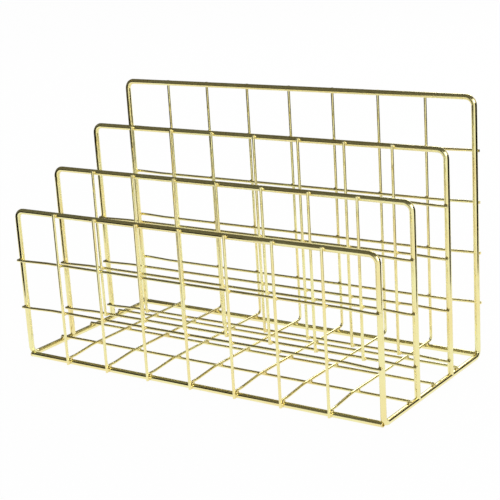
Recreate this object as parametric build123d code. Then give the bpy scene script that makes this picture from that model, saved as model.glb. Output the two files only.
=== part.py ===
from build123d import *
import os

# A stepped wire rack for documents: four upright panels of welded wire on one wire base.
# Millimetres. +X is the rack's width, -Y its low front, +Z is up.
# The origin is on the surface that the rack stands on, under the middle of its box.

# Wire
frame_wire = 3.2            # diameter of the bent frame wire and of the two base rails
mesh_wire = 1.6             # diameter of the thin wires of the panels and the base
foot_sink = 0.8             # depth that a butted frame wire sinks into the wire that it is welded to
weld_gap = 0.02             # space that the weld fills between two lapped wires

# Frame, measured between the centre lines of its wires
frame_width = 240.0
front_slot = 36.4           # depth from the front panel to the second
middle_slot = 38.6
back_slot = 34.2
front_height = 90.2         # height of a panel's top rail above the surface
second_height = 107.6
third_height = 126.8
back_height = 148.9
top_bend_radius = 8.0       # at a panel's top corners
base_bend_radius = 4.0      # where the outer frame turns from an upright to a side rail
back_rail_inset = 2.5       # distance of the back base rail in front of the back uprights

# Mesh
column_count = 7            # upright wires of a panel, with equal gaps between them
base_row_count = 3          # cross wires of the base, evenly spaced over its depth
row_gap = 27.3              # clear height between a panel's level wires, counted down from its top rail
lowest_row_height = 8.0     # least height of a panel's lowest cross wire above the surface
cross_end_inset = 0.2       # a cross wire's cut end, inside the outer side of the upright
base_end_overhang = 0.6     # a base cross wire's cut end, past the middle of the side rail
top_end_drop = 0.4          # an upright wire's cut end, below the top of the rail
bottom_end_rise = 0.4       # an upright wire's cut end, above the bottom of the front base rail
depth_end_overhang = 0.7    # a base wire's front end, past the middle of the front base rail
back_bend_radius = 4.5      # where a base wire turns up into the back panel
lap_length = 3.0            # straight length of a stepped end past the wire that it laps
step_length = 16.0          # length over which an end steps across to the wire that it laps
step_bend_radius = 30.0     # of the two bends in that step

frame_radius = frame_wire / 2
mesh_radius = mesh_wire / 2
half_width = frame_width / 2
frame_depth = front_slot + middle_slot + back_slot
front_y = -frame_depth / 2
second_y = front_y + front_slot
third_y = second_y + middle_slot
back_y = frame_depth / 2

# Lapped wires lie this far apart, centre to centre
frame_lap = frame_radius + mesh_radius + weld_gap
mesh_lap = mesh_wire + weld_gap

# Heights of the base's layers: side rails, cross wires on them, base wires on those
side_rail_z = frame_radius
base_cross_z = side_rail_z + frame_lap
base_wire_z = base_cross_z + mesh_lap
back_rail_y = back_y - back_rail_inset
back_rail_z = base_wire_z - frame_lap

# Places of the upright wires across the width
column_gap = (frame_width - frame_wire - column_count * mesh_wire) / (column_count + 1)
column_pitch = column_gap + mesh_wire
columns = [(number - (column_count - 1) / 2) * column_pitch for number in range(column_count)]


def row_levels(height):
    """Heights of a panel's cross wires, from the top down."""
    pitch = row_gap + mesh_wire
    first = height - frame_radius - row_gap - mesh_radius
    count = int((first - lowest_row_height) // pitch) + 1
    return [first - row * pitch for row in range(count)]


def bent_wire(route, diameter):
    """A round wire swept along its route."""
    section = Plane(origin=route @ 0, z_dir=route % 0) * Circle(diameter / 2)
    return sweep(section, path=route)


def level_wire(reach, y, z, diameter):
    """A straight wire along the rack's width, centred."""
    return Plane.YZ * Pos(y, z, -reach) * extrude(Circle(diameter / 2), 2 * reach)


def make_outer_frame():
    """The one closed wire: front frame, side rails and back frame."""
    route = FilletPolyline(
        (0, front_y, front_height),
        (half_width, front_y, front_height),
        (half_width, front_y, side_rail_z),
        (half_width, back_y, side_rail_z),
        (half_width, back_y, back_height),
        (0, back_y, back_height),
        radius=[top_bend_radius, base_bend_radius, base_bend_radius, top_bend_radius],
    )
    right_half = bent_wire(route, frame_wire)
    return right_half + mirror(right_half, about=Plane.YZ)


def make_inner_frame(y, height, outer_frame):
    """An upside-down U, each foot shaped to its seat on a side rail."""
    foot_z = side_rail_z + frame_radius - foot_sink
    route = FilletPolyline(
        (-half_width, y, foot_z),
        (-half_width, y, height),
        (half_width, y, height),
        (half_width, y, foot_z),
        radius=top_bend_radius,
    )
    return bent_wire(route, frame_wire) - outer_frame


def make_base_rail(y, z, outer_frame):
    """A straight rail, each end shaped to its seat on the inner side of the outer frame."""
    reach = half_width - frame_radius + foot_sink
    return level_wire(reach, y, z, frame_wire) - outer_frame


def make_cross_wires(panel_y, height, outward):
    """A panel's level wires. Their ends lap the uprights, and between them they lie behind
    the upright wires. outward is -1 for a mesh on the panel's front and 1 for one on its back."""
    end_y = panel_y + outward * frame_lap
    middle_y = end_y - outward * mesh_lap
    end_x = half_width + frame_radius - cross_end_inset
    step_x = half_width - frame_radius - lap_length
    middle_x = step_x - step_length
    pieces = []
    for z in row_levels(height):
        route = FilletPolyline(
            (-end_x, end_y, z),
            (-step_x, end_y, z),
            (-middle_x, middle_y, z),
            (middle_x, middle_y, z),
            (step_x, end_y, z),
            (end_x, end_y, z),
            radius=step_bend_radius,
        )
        pieces.append(bent_wire(route, mesh_wire))
    return pieces


def make_base_cross_wires():
    """The level wires of the base, laid across the side rails."""
    pitch = frame_depth / (base_row_count + 1)
    places = [front_y + (row + 1) * pitch for row in range(base_row_count)]
    return [level_wire(half_width + base_end_overhang, y, base_cross_z, mesh_wire) for y in places]


def make_upright_wires(panel_y, height, bottom_z):
    """The upright wires on the front of a panel, lapped on its top rail."""
    top_z = height + frame_radius - top_end_drop
    upright = extrude(Circle(mesh_radius), top_z - bottom_z)
    return [Pos(x, panel_y - frame_lap, bottom_z) * upright for x in columns]


def make_base_and_back_wires():
    """The wires that run back along the base and turn up into the back panel."""
    wire_y = back_y + frame_lap
    step_y = front_y + frame_radius + lap_length
    top_z = back_height + frame_radius - top_end_drop
    pieces = []
    for x in columns:
        route = FilletPolyline(
            (x, front_y - depth_end_overhang, base_cross_z),
            (x, step_y, base_cross_z),
            (x, step_y + step_length, base_wire_z),
            (x, wire_y, base_wire_z),
            (x, wire_y, top_z),
            radius=[step_bend_radius, step_bend_radius, back_bend_radius],
        )
        pieces.append(bent_wire(route, mesh_wire))
    return pieces


def make_rack():
    """Every piece of the rack, by its node's name."""
    outer = make_outer_frame()
    nodes = {
        "outer_frame": outer,
        "second_panel_frame": make_inner_frame(second_y, second_height, outer),
        "third_panel_frame": make_inner_frame(third_y, third_height, outer),
        "front_base_rail": make_base_rail(front_y, side_rail_z, outer),
        "back_base_rail": make_base_rail(back_rail_y, back_rail_z, outer),
    }

    second_bottom = row_levels(second_height)[-1] - mesh_radius
    third_bottom = row_levels(third_height)[-1] - mesh_radius
    groups = {
        "front_cross_wire": make_cross_wires(front_y, front_height, -1),
        "second_cross_wire": make_cross_wires(second_y, second_height, -1),
        "third_cross_wire": make_cross_wires(third_y, third_height, -1),
        "back_cross_wire": make_cross_wires(back_y, back_height, 1),
        "base_cross_wire": make_base_cross_wires(),
        "front_upright_wire": make_upright_wires(front_y, front_height, bottom_end_rise),
        "second_upright_wire": make_upright_wires(second_y, second_height, second_bottom),
        "third_upright_wire": make_upright_wires(third_y, third_height, third_bottom),
        "base_and_back_wire": make_base_and_back_wires(),
    }
    for name, pieces in groups.items():
        for number, piece in enumerate(pieces, start=1):
            nodes[f"{name}_{number}"] = piece
    return nodes


os.makedirs("parts", exist_ok=True)
for node_name, solid in make_rack().items():
    export_step(solid, f"parts/{node_name}.step")
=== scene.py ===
"""Plated looks, weld nuggets and studio stage for a stepped wire document rack."""

import math

import bpy
from bpy.props import FloatProperty, FloatVectorProperty, IntProperty, PointerProperty
from mathutils import Matrix, Quaternion, Vector


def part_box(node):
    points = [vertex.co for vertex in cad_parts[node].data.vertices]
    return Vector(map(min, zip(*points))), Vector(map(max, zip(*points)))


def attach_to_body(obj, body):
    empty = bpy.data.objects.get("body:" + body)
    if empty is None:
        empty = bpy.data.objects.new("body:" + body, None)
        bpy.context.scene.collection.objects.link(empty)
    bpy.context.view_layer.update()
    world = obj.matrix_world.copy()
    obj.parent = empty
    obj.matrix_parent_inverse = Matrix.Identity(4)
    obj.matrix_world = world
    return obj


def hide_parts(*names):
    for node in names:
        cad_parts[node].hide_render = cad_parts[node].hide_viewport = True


bl_info = {
    "name": "Stepped wire document rack",
    "version": (1, 0, 0),
    "blender": (4, 2, 0),
    "location": "View3D > Sidebar > Wire rack",
    "description": "Plates the wires of a stepped document rack, adds its weld nuggets and sets its stage",
    "category": "Object",
}

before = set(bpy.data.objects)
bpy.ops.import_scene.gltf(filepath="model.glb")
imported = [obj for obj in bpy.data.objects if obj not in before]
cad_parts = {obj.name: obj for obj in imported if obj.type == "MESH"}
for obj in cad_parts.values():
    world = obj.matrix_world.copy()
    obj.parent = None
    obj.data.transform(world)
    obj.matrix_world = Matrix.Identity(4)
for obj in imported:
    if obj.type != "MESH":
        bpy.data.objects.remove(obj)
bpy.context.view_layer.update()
BODY = "root"
PANELS = ("front", "second", "third", "back")
FRAME_NODES = ("outer_frame", "second_panel_frame", "third_panel_frame")
RAIL_NODES = ("front_base_rail", "back_base_rail")


# Places read from the frame

def middle(node):
    """The middle of a node's box."""
    low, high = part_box(node)
    return (Vector(low) + Vector(high)) / 2


def numbered(group):
    """The nodes of one group of like wires, in their order."""
    names = [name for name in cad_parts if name.rsplit("_", 1)[0] == group]
    return sorted(names, key=lambda name: int(name.rsplit("_", 1)[1]))


FRAME_RADIUS = (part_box("front_base_rail")[1][2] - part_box("front_base_rail")[0][2]) / 2
MESH_RADIUS = (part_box("base_cross_wire_1")[1][2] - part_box("base_cross_wire_1")[0][2]) / 2
HALF_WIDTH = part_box("outer_frame")[1][0] - FRAME_RADIUS
FRONT_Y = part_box("outer_frame")[0][1] + FRAME_RADIUS
BACK_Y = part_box("outer_frame")[1][1] - FRAME_RADIUS
COLUMNS = [middle(name).x for name in numbered("front_upright_wire")]
DEPTH_NODES = numbered("base_and_back_wire")
STRAIGHT_NODES = sorted(set(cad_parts) - {*FRAME_NODES, *RAIL_NODES, *DEPTH_NODES})
PANEL_Y = {
    "front": FRONT_Y,
    "second": middle("second_panel_frame").y,
    "third": middle("third_panel_frame").y,
    "back": BACK_Y,
}
TOP_RAIL_Z = {
    "front": max(v.co.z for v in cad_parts["outer_frame"].data.vertices if v.co.y < 0)
    - FRAME_RADIUS,
    "second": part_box("second_panel_frame")[1][2] - FRAME_RADIUS,
    "third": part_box("third_panel_frame")[1][2] - FRAME_RADIUS,
    "back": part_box("outer_frame")[1][2] - FRAME_RADIUS,
}
OUTWARD = {"front": -1, "second": -1, "third": -1, "back": 1}

# Shapes of the welds and the grain, as shares
FOOT_SINK_SHARE = 0.5
COLLAR_SIDE_SHARE = 0.6
COLLAR_SAG_SHARE = 0.35
NUGGET_ROUND_SHARE = 0.55
NOISE_MIDDLE_SHARES = (0.3, 0.7)
WIRE_GRAIN_SHARE = 0.03
WELD_GRAIN_SHARE = 0.5
CORNER_REACH_SHARE = 0.1

# Distances in metres
MERGE_DISTANCE = 0.000001
WIRE_GRAIN_DEPTH = 0.00005
WELD_GRAIN_DEPTH = 0.0001

# Stage cards: width and height, place and the way that each faces, in metres
GREY_CARDS = {
    "card_above": ((2.0, 2.6), (-0.2, -0.1, 1.0), (0, 0, -1)),
    "card_left": ((2.2, 1.2), (-0.62, 0.1, 0.6), (1, 0, 0)),
    "card_front": ((0.9, 1.0), (-0.25, -0.55, 0.5), (0.4, 0.9, 0)),
}
PALE_CARDS = {
    "card_back": ((1.2, 0.7), (0.55, 0.8, 0.42), (-0.6, -0.8, 0)),
}
DARK_CARDS = {
    "card_near": ((0.6, 0.1), (-0.34, -0.18, 0.05), (0, 1, 0)),
    "card_right": ((0.7, 0.2), (0.30, 0.3, 0.1), (-1, 0, 0)),
}

# Soft lights: width and place, in metres, and the point that they face
KEY_LIGHT = (0.8, (-0.3, 1.3, 1.2))
FILL_LIGHT = (0.6, (1.1, -0.4, 0.7))
LIGHT_TARGET = Vector((0, 0, 0.06))
SENSOR_WIDTH = 36
CLIP_START = 0.01


# Settings

class RackFinish(bpy.types.PropertyGroup):
    """Colours and gloss of the plating and the welds."""

    plating_colour: FloatVectorProperty(
        name="Plating",
        description="Colour of the pale gold plating",
        subtype="COLOR",
        size=3,
        min=0,
        max=1,
        default=(0.90, 0.86, 0.45),
    )
    warm_colour: FloatVectorProperty(
        name="Warm plating",
        description="Colour of the patches where the plating is thicker",
        subtype="COLOR",
        size=3,
        min=0,
        max=1,
        default=(0.90, 0.77, 0.36),
    )
    weld_colour: FloatVectorProperty(
        name="Weld",
        description="Colour of the plating over the rougher welds",
        subtype="COLOR",
        size=3,
        min=0,
        max=1,
        default=(0.78, 0.66, 0.32),
    )
    gloss_roughness: FloatProperty(
        name="Gloss",
        description="Roughness of the best polished plating",
        subtype="FACTOR",
        min=0,
        max=1,
        default=0.07,
    )
    dull_roughness: FloatProperty(
        name="Haze",
        description="Roughness of the haziest plating",
        subtype="FACTOR",
        min=0,
        max=1,
        default=0.19,
    )
    weld_roughness: FloatProperty(
        name="Weld roughness",
        description="Roughness of the plated welds",
        subtype="FACTOR",
        min=0,
        max=1,
        default=0.3,
    )
    haze_size: FloatProperty(
        name="Haze patch",
        description="Size of the patches of haze in the plating",
        subtype="DISTANCE",
        unit="LENGTH",
        min=0.0001,
        default=0.004,
    )
    grain_size: FloatProperty(
        name="Grain",
        description="Size of the fine grain left by drawing and plating the wire",
        subtype="DISTANCE",
        unit="LENGTH",
        min=0.00005,
        default=0.0006,
    )
    smooth_angle: FloatProperty(
        name="Smooth angle",
        description="Edges that turn more than this stay sharp, such as those of a cut end",
        subtype="ANGLE",
        unit="ROTATION",
        default=math.radians(40),
    )


class RackBends(bpy.types.PropertyGroup):
    """Bends of the wires."""

    top_radius: FloatProperty(
        name="Top corners",
        description="Radius of the bends at the top corners of the panels",
        subtype="DISTANCE",
        unit="LENGTH",
        default=0.0048,
    )
    base_radius: FloatProperty(
        name="Base corners",
        description="Radius of the bends where the outer frame turns into the side rails",
        subtype="DISTANCE",
        unit="LENGTH",
        default=0.004,
    )
    back_radius: FloatProperty(
        name="Back bends",
        description="Radius of the bends where the base wires turn up into the back panel",
        subtype="DISTANCE",
        unit="LENGTH",
        default=0.0024,
    )
    lap_length: FloatProperty(
        name="Lap",
        description="Straight length of a base wire's front end past the front rail",
        subtype="DISTANCE",
        unit="LENGTH",
        default=0.003,
    )
    step_length: FloatProperty(
        name="Step",
        description="Length over which a base wire's front end steps down to the front rail",
        subtype="DISTANCE",
        unit="LENGTH",
        default=0.016,
    )
    step_ease: FloatProperty(
        name="Step ease",
        description="Length that each bend of that step takes from its straight runs",
        subtype="DISTANCE",
        unit="LENGTH",
        default=0.0015,
    )
    bend_segments: IntProperty(
        name="Bend segments",
        description="Straight pieces that a bend is divided into",
        min=2,
        max=32,
        default=10,
    )


class RackWelds(bpy.types.PropertyGroup):
    """Sizes of the weld nuggets and collars."""

    nugget_reach: FloatProperty(
        name="Nugget",
        description="Half width of the nugget between two crossing wires",
        subtype="DISTANCE",
        unit="LENGTH",
        default=0.0009,
    )
    nugget_depth: FloatProperty(
        name="Nugget depth",
        description="Half thickness of a nugget",
        subtype="DISTANCE",
        unit="LENGTH",
        default=0.0005,
    )
    nugget_cuts: IntProperty(
        name="Nugget cuts",
        description="Cuts across each side of the block that a nugget is rounded from",
        min=1,
        max=4,
        default=2,
    )
    collar_reach: FloatProperty(
        name="Collar",
        description="Half thickness of the collar where a frame wire is butted to another",
        subtype="DISTANCE",
        unit="LENGTH",
        default=0.00042,
    )


class RackStage(bpy.types.PropertyGroup):
    """Camera, light and floor."""

    camera_place: FloatVectorProperty(
        name="Camera",
        description="Place of the camera",
        subtype="TRANSLATION",
        unit="LENGTH",
        size=3,
        default=(0.43317, -0.60213, 0.27266),
    )
    camera_target: FloatVectorProperty(
        name="Target",
        description="Point at the middle of the picture",
        subtype="TRANSLATION",
        unit="LENGTH",
        size=3,
        default=(-0.01275, 0.02597, 0.0567),
    )
    camera_roll: FloatProperty(
        name="Roll",
        description="Tilt of the camera about its line of sight",
        subtype="ANGLE",
        unit="ROTATION",
        default=math.radians(-3.54),
    )
    camera_lens: FloatProperty(
        name="Lens",
        description="Focal length in millimetres for a 36 mm wide picture",
        unit="CAMERA",
        default=97.28,
    )
    floor_size: FloatProperty(
        name="Floor",
        description="Width of the pale floor",
        subtype="DISTANCE",
        unit="LENGTH",
        default=8.0,
    )
    floor_colour: FloatVectorProperty(
        name="Floor colour",
        description="Colour of the pale floor",
        subtype="COLOR",
        size=3,
        min=0,
        max=1,
        default=(0.9, 0.9, 0.9),
    )
    floor_glow: FloatProperty(
        name="Floor white",
        description="Share of plain white in what the camera and the metal see of the floor",
        subtype="FACTOR",
        min=0,
        max=1,
        default=0.97,
    )
    grey_card_colour: FloatVectorProperty(
        name="Grey cards",
        description="Colour of the cards that shade the level wires from above, left and front",
        subtype="COLOR",
        size=3,
        min=0,
        max=1,
        default=(0.15, 0.145, 0.12),
    )
    pale_card_colour: FloatVectorProperty(
        name="Pale card",
        description="Colour of the card that tones down the wires that run front to back",
        subtype="COLOR",
        size=3,
        min=0,
        max=1,
        default=(0.66, 0.60, 0.48),
    )
    dark_card_colour: FloatVectorProperty(
        name="Dark cards",
        description="Colour of the low cards that draw dark lines down the upright wires",
        subtype="COLOR",
        size=3,
        min=0,
        max=1,
        default=(0.01, 0.01, 0.01),
    )
    key_power: FloatProperty(
        name="Key light",
        description="Power of the large soft light at the back",
        unit="POWER",
        default=9.0,
    )
    fill_power: FloatProperty(
        name="Fill light",
        description="Power of the soft light at the right",
        unit="POWER",
        default=5.0,
    )
    room_level: FloatProperty(
        name="Room light",
        description="Strength of the even light from all round",
        min=0,
        default=0.6,
    )


# Materials

def new_material(name):
    """A fresh node material with its node tree, shader and Object coordinates."""
    material = bpy.data.materials.new(name)
    material.use_nodes = True
    tree = material.node_tree
    shader = tree.nodes["Principled BSDF"]
    coordinates = tree.nodes.new("ShaderNodeTexCoord").outputs["Object"]
    return material, tree, shader, coordinates


def noise(tree, coordinates, size, detail):
    """Cloudy noise with patches of one size."""
    node = tree.nodes.new("ShaderNodeTexNoise")
    node.inputs["Scale"].default_value = 1 / size
    node.inputs["Detail"].default_value = detail
    tree.links.new(coordinates, node.inputs["Vector"])
    return node.outputs["Fac"]


def spread(tree, value, low, high):
    """The middle of a noise spread over a range."""
    node = tree.nodes.new("ShaderNodeMapRange")
    node.inputs["From Min"].default_value = NOISE_MIDDLE_SHARES[0]
    node.inputs["From Max"].default_value = NOISE_MIDDLE_SHARES[1]
    node.inputs["To Min"].default_value = low
    node.inputs["To Max"].default_value = high
    tree.links.new(value, node.inputs["Value"])
    return node.outputs["Result"]


def blend_colours(tree, factor, first, second):
    """A colour that drifts from the first to the second."""
    node = tree.nodes.new("ShaderNodeMix")
    node.data_type = "RGBA"
    node.inputs["A"].default_value = (*first, 1)
    node.inputs["B"].default_value = (*second, 1)
    tree.links.new(factor, node.inputs["Factor"])
    return node.outputs["Result"]


def grain_bump(tree, shader, height, strength, distance):
    """Fine relief of the surface."""
    node = tree.nodes.new("ShaderNodeBump")
    node.inputs["Strength"].default_value = strength
    node.inputs["Distance"].default_value = distance
    tree.links.new(height, node.inputs["Height"])
    tree.links.new(node.outputs["Normal"], shader.inputs["Normal"])


def plating(name, finish):
    """Bright pale gold plating on drawn wire, with faint haze and warmer patches."""
    material, tree, shader, coordinates = new_material(name)
    shader.inputs["Metallic"].default_value = 1.0
    haze = noise(tree, coordinates, finish.haze_size, 4)
    patches = noise(tree, coordinates, 6 * finish.haze_size, 2)
    grain = noise(tree, coordinates, finish.grain_size, 3)
    colour = blend_colours(
        tree, spread(tree, patches, 0, 1), finish.plating_colour, finish.warm_colour
    )
    roughness = spread(tree, haze, finish.gloss_roughness, finish.dull_roughness)
    tree.links.new(colour, shader.inputs["Base Color"])
    tree.links.new(roughness, shader.inputs["Roughness"])
    grain_bump(tree, shader, grain, WIRE_GRAIN_SHARE, WIRE_GRAIN_DEPTH)
    return material


def weld_plating(finish):
    """Plating over a weld: rougher and a little browner."""
    material, tree, shader, coordinates = new_material("weld_plating")
    shader.inputs["Metallic"].default_value = 1.0
    lumps = noise(tree, coordinates, finish.grain_size, 3)
    colour = blend_colours(
        tree, spread(tree, lumps, 0, 1), finish.weld_colour, finish.warm_colour
    )
    roughness = spread(tree, lumps, finish.dull_roughness, finish.weld_roughness)
    tree.links.new(colour, shader.inputs["Base Color"])
    tree.links.new(roughness, shader.inputs["Roughness"])
    grain_bump(tree, shader, lumps, WELD_GRAIN_SHARE, WELD_GRAIN_DEPTH)
    return material


# Pieces

def activate(obj):
    """Selects one object alone."""
    bpy.ops.object.select_all(action="DESELECT")
    obj.select_set(True)
    bpy.context.view_layer.objects.active = obj


def attach(piece, material):
    """Gives a finished piece its material and joins it to the rack's body."""
    piece.data.materials.clear()
    piece.data.materials.append(material)
    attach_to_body(piece, BODY)


def polished_copy(node, material, angle):
    """A wire's own mesh, merged and shaded smooth so that reflections run round it."""
    piece = bpy.data.objects.new(f"{node}_plated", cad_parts[node].data.copy())
    bpy.context.scene.collection.objects.link(piece)
    activate(piece)
    bpy.ops.object.mode_set(mode="EDIT")
    bpy.ops.mesh.select_all(action="SELECT")
    bpy.ops.mesh.customdata_custom_splitnormals_clear()
    bpy.ops.mesh.remove_doubles(threshold=MERGE_DISTANCE)
    bpy.ops.object.mode_set(mode="OBJECT")
    bpy.ops.object.shade_smooth_by_angle(angle=angle)
    attach(piece, material)
    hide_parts(node)


def lay_route(points, closed):
    """The middle line of a wire, extruded from corner to corner."""
    bpy.ops.object.select_all(action="DESELECT")
    bpy.ops.mesh.primitive_plane_add(size=MESH_RADIUS, location=points[0])
    bpy.ops.object.transform_apply(location=True, rotation=False, scale=False)
    bpy.ops.object.mode_set(mode="EDIT")
    bpy.ops.mesh.select_mode(type="VERT")
    bpy.ops.mesh.merge(type="CENTER")
    for start, end in zip(points, points[1:]):
        bpy.ops.mesh.extrude_region_move(TRANSFORM_OT_translate={"value": end - start})
    bpy.ops.object.mode_set(mode="OBJECT")
    if closed:
        select_corners([points[0], points[-1]])
        bpy.ops.object.mode_set(mode="EDIT")
        bpy.ops.mesh.edge_face_add()
        bpy.ops.object.mode_set(mode="OBJECT")


def select_corners(corners):
    """Selects the active route's points that lie at the given corners."""
    reach = CORNER_REACH_SHARE * MESH_RADIUS
    for vertex in bpy.context.object.data.vertices:
        vertex.select = any((vertex.co - corner).length < reach for corner in corners)


def bend_corners(corners, radius, segments):
    """Rounds corners of the active route."""
    select_corners(corners)
    bpy.ops.object.mode_set(mode="EDIT")
    bpy.ops.mesh.bevel(offset=radius, segments=segments, affect="VERTICES")
    bpy.ops.object.mode_set(mode="OBJECT")


def draw_wire(name, radius, angle):
    """Turns the active route into round wire with cut ends."""
    bpy.ops.object.convert(target="CURVE")
    curve = bpy.context.object.data
    curve.bevel_depth = radius
    curve.bevel_resolution = 6
    curve.use_fill_caps = True
    bpy.ops.object.convert(target="MESH")
    wire = bpy.context.object
    wire.name = name
    bpy.ops.object.mode_set(mode="EDIT")
    bpy.ops.mesh.select_all(action="SELECT")
    bpy.ops.mesh.remove_doubles(threshold=MERGE_DISTANCE)
    bpy.ops.mesh.normals_make_consistent(inside=False)
    bpy.ops.object.mode_set(mode="OBJECT")
    bpy.ops.object.shade_smooth_by_angle(angle=angle)
    return wire


def bend_outer_frame(bends, angle):
    """The closed wire: front frame, side rails and back frame."""
    tops = [
        Vector((side * HALF_WIDTH, PANEL_Y[panel], TOP_RAIL_Z[panel]))
        for panel, side in (("front", -1), ("front", 1), ("back", 1), ("back", -1))
    ]
    feet = [Vector((top.x, top.y, FRAME_RADIUS)) for top in tops]
    lay_route([tops[0], tops[1], feet[1], feet[2], tops[2], tops[3], feet[3], feet[0]], True)
    bend_corners(tops, bends.top_radius, bends.bend_segments)
    bend_corners(feet, bends.base_radius, bends.bend_segments)
    return draw_wire("outer_frame_plated", FRAME_RADIUS, angle)


def bend_inner_frame(panel, bends, angle):
    """The upside-down U of an inner panel, its feet sunk in the welds on the side rails."""
    foot_z = (2 - FOOT_SINK_SHARE) * FRAME_RADIUS
    y = PANEL_Y[panel]
    tops = [Vector((side * HALF_WIDTH, y, TOP_RAIL_Z[panel])) for side in (-1, 1)]
    feet = [Vector((top.x, y, foot_z)) for top in tops]
    lay_route([feet[0], tops[0], tops[1], feet[1]], False)
    bend_corners(tops, bends.top_radius, bends.bend_segments)
    return draw_wire(f"{panel}_panel_frame_plated", FRAME_RADIUS, angle)


def bend_depth_wire(node, bends, angle):
    """A wire that runs back along the base and turns up into the back panel."""
    low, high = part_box(node)
    x = middle(node).x
    lap_z = low[2] + MESH_RADIUS
    base_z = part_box("base_cross_wire_1")[1][2] + MESH_RADIUS
    back_y = high[1] - MESH_RADIUS
    step_y = FRONT_Y + FRAME_RADIUS + bends.lap_length
    front = Vector((x, low[1], lap_z))
    steps = [Vector((x, step_y, lap_z)), Vector((x, step_y + bends.step_length, base_z))]
    turn = Vector((x, back_y, base_z))
    lay_route([front, *steps, turn, Vector((x, back_y, high[2]))], False)
    bend_corners(steps, bends.step_ease, bends.bend_segments // 2)
    bend_corners([turn], bends.back_radius, bends.bend_segments)
    return draw_wire(f"{node}_plated", MESH_RADIUS, angle)


def model_nugget(welds):
    """The nugget between two crossing wires: a rounded pillow, thin along Z."""
    bpy.ops.object.select_all(action="DESELECT")
    bpy.ops.mesh.primitive_cube_add(size=2 * welds.nugget_reach)
    nugget = bpy.context.object
    bpy.ops.object.mode_set(mode="EDIT")
    bpy.ops.mesh.subdivide(number_cuts=welds.nugget_cuts, smoothness=NUGGET_ROUND_SHARE)
    bpy.ops.transform.resize(value=(1, 1, welds.nugget_depth / welds.nugget_reach))
    bpy.ops.object.mode_set(mode="OBJECT")
    bpy.ops.object.shade_smooth()
    return nugget


def model_collar(welds, sag):
    """The weld collar round a butted wire's end, lower at the two sides of the wire it sits on."""
    bpy.ops.object.select_all(action="DESELECT")
    bpy.ops.mesh.primitive_torus_add(
        major_radius=FRAME_RADIUS,
        minor_radius=welds.collar_reach,
        major_segments=20,
        minor_segments=8,
    )
    collar = bpy.context.object
    for side in (-1, 1):
        for vertex in collar.data.vertices:
            vertex.select = side * vertex.co.x > COLLAR_SIDE_SHARE * FRAME_RADIUS
        bpy.ops.object.mode_set(mode="EDIT")
        bpy.ops.transform.translate(
            value=(0, 0, -sag),
            use_proportional_edit=True,
            proportional_edit_falloff="SMOOTH",
            proportional_size=FRAME_RADIUS,
        )
        bpy.ops.object.mode_set(mode="OBJECT")
    bpy.ops.object.shade_smooth()
    return collar


def facing(normal):
    """The turn that lays a nugget's thin side along a normal."""
    return Vector((0, 0, 1)).rotation_difference(Vector(normal)).to_matrix().to_4x4()


def copy_to(pattern, place, turn):
    """A copy of a pattern with its own mesh, set in place."""
    piece = bpy.data.objects.new(pattern.name, pattern.data.copy())
    bpy.context.scene.collection.objects.link(piece)
    piece.data.transform(Matrix.Translation(place) @ turn)
    return piece


def join_pieces(name, pieces):
    """Joins copies into one piece at the origin."""
    bpy.ops.object.select_all(action="DESELECT")
    for piece in pieces:
        piece.select_set(True)
    bpy.context.view_layer.objects.active = pieces[0]
    bpy.ops.object.join()
    joined = bpy.context.object
    joined.name = name
    return joined


def panel_weld_places(panel):
    """Where a panel's wires cross and touch."""
    y = PANEL_Y[panel]
    outward = OUTWARD[panel]
    face = y + outward * FRAME_RADIUS
    levels = [middle(name).z for name in numbered(f"{panel}_cross_wire")]
    places = [Vector((x, face, z)) for z in levels for x in COLUMNS]
    places += [Vector((x, face, TOP_RAIL_Z[panel])) for x in COLUMNS]
    places += [Vector((side * HALF_WIDTH, face, z)) for z in levels for side in (-1, 1)]
    if panel == "front":
        places += [Vector((x, face, FRAME_RADIUS)) for x in COLUMNS]
    return places


def base_weld_places():
    """Where the base's wires cross and touch."""
    side_rail_top = 2 * FRAME_RADIUS
    cross_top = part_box("base_cross_wire_1")[1][2]
    back_rail = middle("back_base_rail")
    rows = [middle(name).y for name in numbered("base_cross_wire")]
    places = [Vector((x, y, cross_top)) for y in rows for x in COLUMNS]
    places += [Vector((side * HALF_WIDTH, y, side_rail_top)) for y in rows for side in (-1, 1)]
    places += [Vector((x, FRONT_Y, side_rail_top)) for x in COLUMNS]
    places += [Vector((x, back_rail.y, back_rail.z + FRAME_RADIUS)) for x in COLUMNS]
    return places


# Operators

class RACK_OT_plate_frame(bpy.types.Operator):
    """Plate the bent frame wires and the two base rails"""

    bl_idname = "rack.plate_frame"
    bl_label = "Plate frame wires"

    def execute(self, context):
        finish = context.scene.rack_finish
        bends = context.scene.rack_bends
        angle = finish.smooth_angle
        material = plating("frame_wire_plating", finish)
        wires = {
            "outer_frame": bend_outer_frame(bends, angle),
            "second_panel_frame": bend_inner_frame("second", bends, angle),
            "third_panel_frame": bend_inner_frame("third", bends, angle),
        }
        for node, wire in wires.items():
            attach(wire, material)
            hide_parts(node)
        for node in RAIL_NODES:
            polished_copy(node, material, angle)
        return {"FINISHED"}


class RACK_OT_plate_mesh(bpy.types.Operator):
    """Plate the thin wires of the panels and the base"""

    bl_idname = "rack.plate_mesh"
    bl_label = "Plate mesh wires"

    def execute(self, context):
        finish = context.scene.rack_finish
        material = plating("mesh_wire_plating", finish)
        for node in DEPTH_NODES:
            wire = bend_depth_wire(node, context.scene.rack_bends, finish.smooth_angle)
            attach(wire, material)
            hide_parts(node)
        for node in STRAIGHT_NODES:
            polished_copy(node, material, finish.smooth_angle)
        return {"FINISHED"}


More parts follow.
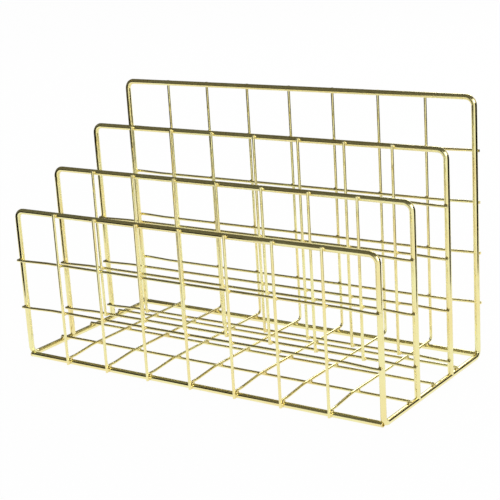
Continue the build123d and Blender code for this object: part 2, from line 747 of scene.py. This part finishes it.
class RACK_OT_weld_mesh(bpy.types.Operator):
    """Set a weld nugget wherever two lapped wires touch"""

    bl_idname = "rack.weld_mesh"
    bl_label = "Weld mesh wires"

    def execute(self, context):
        material = weld_plating(context.scene.rack_finish)
        nugget = model_nugget(context.scene.rack_welds)
        groups = {f"{panel}_panel_welds": (panel_weld_places(panel), (0, 1, 0)) for panel in PANELS}
        groups["base_welds"] = (base_weld_places(), (0, 0, 1))
        for name, (places, normal) in groups.items():
            turn = facing(normal)
            welds = join_pieces(name, [copy_to(nugget, place, turn) for place in places])
            attach(welds, material)
        bpy.data.objects.remove(nugget)
        return {"FINISHED"}


class RACK_OT_weld_frame(bpy.types.Operator):
    """Set a weld collar round each butted end of a frame wire"""

    bl_idname = "rack.weld_frame"
    bl_label = "Weld frame wires"

    def execute(self, context):
        settings = context.scene.rack_welds
        material = weld_plating(context.scene.rack_finish)
        collar = model_collar(settings, COLLAR_SAG_SHARE * FRAME_RADIUS)
        seat_z = 2 * FRAME_RADIUS
        flush = FRAME_RADIUS / (FRAME_RADIUS + settings.collar_reach)
        pieces = []
        for panel in ("second", "third"):
            for side in (-1, 1):
                place = Vector((side * HALF_WIDTH, PANEL_Y[panel], seat_z))
                pieces.append(copy_to(collar, place, Matrix.Diagonal((flush, 1, 1, 1))))
        for rail in ("front_base_rail", "back_base_rail"):
            rail_middle = middle(rail)
            for side in (-1, 1):
                place = Vector((side * (HALF_WIDTH - FRAME_RADIUS), rail_middle.y, rail_middle.z))
                turn = Matrix.Diagonal((1, 1, flush, 1)) @ facing((-side, 0, 0))
                pieces.append(copy_to(collar, place, turn))
        attach(join_pieces("frame_welds", pieces), material)
        bpy.data.objects.remove(collar)
        return {"FINISHED"}


def stage_plane(name, size, place, normal, material):
    """A flat stage piece that faces along a normal."""
    bpy.ops.object.select_all(action="DESELECT")
    bpy.ops.mesh.primitive_plane_add(size=1, location=place)
    plane = bpy.context.object
    plane.name = name
    plane.scale = (*size, 1)
    plane.rotation_euler = Vector(normal).to_track_quat("Z", "Y").to_euler()
    plane.data.materials.append(material)
    return plane


def white_for_eyes_and_metal(tree):
    """1 for what the camera, metal and glass see, 0 for the light that falls on things."""
    path = tree.nodes.new("ShaderNodeLightPath")
    first = tree.nodes.new("ShaderNodeMath")
    first.operation = "MAXIMUM"
    tree.links.new(path.outputs["Is Camera Ray"], first.inputs[0])
    tree.links.new(path.outputs["Is Glossy Ray"], first.inputs[1])
    second = tree.nodes.new("ShaderNodeMath")
    second.operation = "MAXIMUM"
    tree.links.new(first.outputs["Value"], second.inputs[0])
    tree.links.new(path.outputs["Is Transmission Ray"], second.inputs[1])
    return second.outputs["Value"]


def floor_material(stage):
    """Pale floor that looks white and keeps a soft shadow."""
    material, tree, shader, coordinates = new_material("pale_floor")
    shader.inputs["Base Color"].default_value = (*stage.floor_colour, 1)
    shader.inputs["Roughness"].default_value = 0.9
    glow = tree.nodes.new("ShaderNodeEmission")
    glow.inputs["Color"].default_value = (1, 1, 1, 1)
    glow.inputs["Strength"].default_value = 1.0
    share = tree.nodes.new("ShaderNodeMath")
    share.operation = "MULTIPLY"
    share.inputs[1].default_value = stage.floor_glow
    tree.links.new(white_for_eyes_and_metal(tree), share.inputs[0])
    mixed = tree.nodes.new("ShaderNodeMixShader")
    tree.links.new(share.outputs["Value"], mixed.inputs["Fac"])
    tree.links.new(shader.outputs["BSDF"], mixed.inputs[1])
    tree.links.new(glow.outputs["Emission"], mixed.inputs[2])
    tree.links.new(mixed.outputs["Shader"], tree.nodes["Material Output"].inputs["Surface"])
    return material


def card_material(name, colour):
    """Matt card."""
    material, tree, shader, coordinates = new_material(name)
    shader.inputs["Base Color"].default_value = (*colour, 1)
    shader.inputs["Roughness"].default_value = 0.9
    shader.inputs["Specular IOR Level"].default_value = 0.0
    return material


def set_cards(cards, material):
    """Stands cards round the rack that only its metal sees."""
    for name, (size, place, normal) in cards.items():
        card = stage_plane(name, size, place, normal, material)
        card.visible_camera = False
        card.visible_diffuse = False
        card.visible_shadow = False


def soft_light(name, power, size, place):
    """A square soft light aimed at the rack."""
    lamp = bpy.data.lights.new(name, "AREA")
    lamp.energy = power
    lamp.size = size
    light = bpy.data.objects.new(name, lamp)
    light.location = place
    light.rotation_euler = (LIGHT_TARGET - Vector(place)).to_track_quat("-Z", "Y").to_euler()
    bpy.context.scene.collection.objects.link(light)


class RACK_OT_set_stage(bpy.types.Operator):
    """Set the floor, the light, the dark cards and the camera"""

    bl_idname = "rack.set_stage"
    bl_label = "Set stage"

    def execute(self, context):
        stage = context.scene.rack_stage
        scene = context.scene
        scene.view_settings.view_transform = "Standard"

        stage_plane("floor", (stage.floor_size,) * 2, (0, 0, 0), (0, 0, 1), floor_material(stage))
        set_cards(GREY_CARDS, card_material("grey_card", stage.grey_card_colour))
        set_cards(PALE_CARDS, card_material("pale_card", stage.pale_card_colour))
        set_cards(DARK_CARDS, card_material("dark_card", stage.dark_card_colour))

        world = scene.world or bpy.data.worlds.new("studio")
        scene.world = world
        world.use_nodes = True
        tree = world.node_tree
        background = tree.nodes["Background"]
        background.inputs["Color"].default_value = (1, 1, 1, 1)
        level = tree.nodes.new("ShaderNodeMapRange")
        level.inputs["To Min"].default_value = stage.room_level
        level.inputs["To Max"].default_value = 1.0
        tree.links.new(white_for_eyes_and_metal(tree), level.inputs["Value"])
        tree.links.new(level.outputs["Result"], background.inputs["Strength"])

        soft_light("key_light", stage.key_power, *KEY_LIGHT)
        soft_light("fill_light", stage.fill_power, *FILL_LIGHT)

        camera = bpy.data.objects.new("camera", bpy.data.cameras.new("camera"))
        camera.data.sensor_width = SENSOR_WIDTH
        camera.data.lens = stage.camera_lens
        camera.data.clip_start = CLIP_START
        place = Vector(stage.camera_place)
        sight = (Vector(stage.camera_target) - place).to_track_quat("-Z", "Y")
        camera.location = place
        camera.rotation_euler = (sight @ Quaternion((0, 0, 1), stage.camera_roll)).to_euler()
        scene.collection.objects.link(camera)
        scene.camera = camera
        return {"FINISHED"}


OPERATORS = (
    RACK_OT_plate_frame,
    RACK_OT_plate_mesh,
    RACK_OT_weld_mesh,
    RACK_OT_weld_frame,
    RACK_OT_set_stage,
)


class RACK_PT_sidebar(bpy.types.Panel):
    """Settings and steps of the wire rack"""

    bl_idname = "RACK_PT_sidebar"
    bl_label = "Wire rack"
    bl_space_type = "VIEW_3D"
    bl_region_type = "UI"
    bl_category = "Wire rack"

    def draw(self, context):
        layout = self.layout
        for settings in (
            context.scene.rack_finish,
            context.scene.rack_bends,
            context.scene.rack_welds,
            context.scene.rack_stage,
        ):
            column = layout.column(align=True)
            for name in settings.__annotations__:
                column.prop(settings, name)
        for operator in OPERATORS:
            layout.operator(operator.bl_idname)


CLASSES = (RackFinish, RackBends, RackWelds, RackStage, *OPERATORS, RACK_PT_sidebar)


def register():
    for cls in CLASSES:
        bpy.utils.register_class(cls)
    bpy.types.Scene.rack_finish = PointerProperty(type=RackFinish)
    bpy.types.Scene.rack_bends = PointerProperty(type=RackBends)
    bpy.types.Scene.rack_welds = PointerProperty(type=RackWelds)
    bpy.types.Scene.rack_stage = PointerProperty(type=RackStage)


def unregister():
    del bpy.types.Scene.rack_stage
    del bpy.types.Scene.rack_welds
    del bpy.types.Scene.rack_bends
    del bpy.types.Scene.rack_finish
    for cls in reversed(CLASSES):
        bpy.utils.unregister_class(cls)


def main():
    register()
    bpy.ops.rack.plate_frame()
    bpy.ops.rack.plate_mesh()
    bpy.ops.rack.weld_mesh()
    bpy.ops.rack.weld_frame()
    bpy.ops.rack.set_stage()


if __name__ == "__main__":
    main()
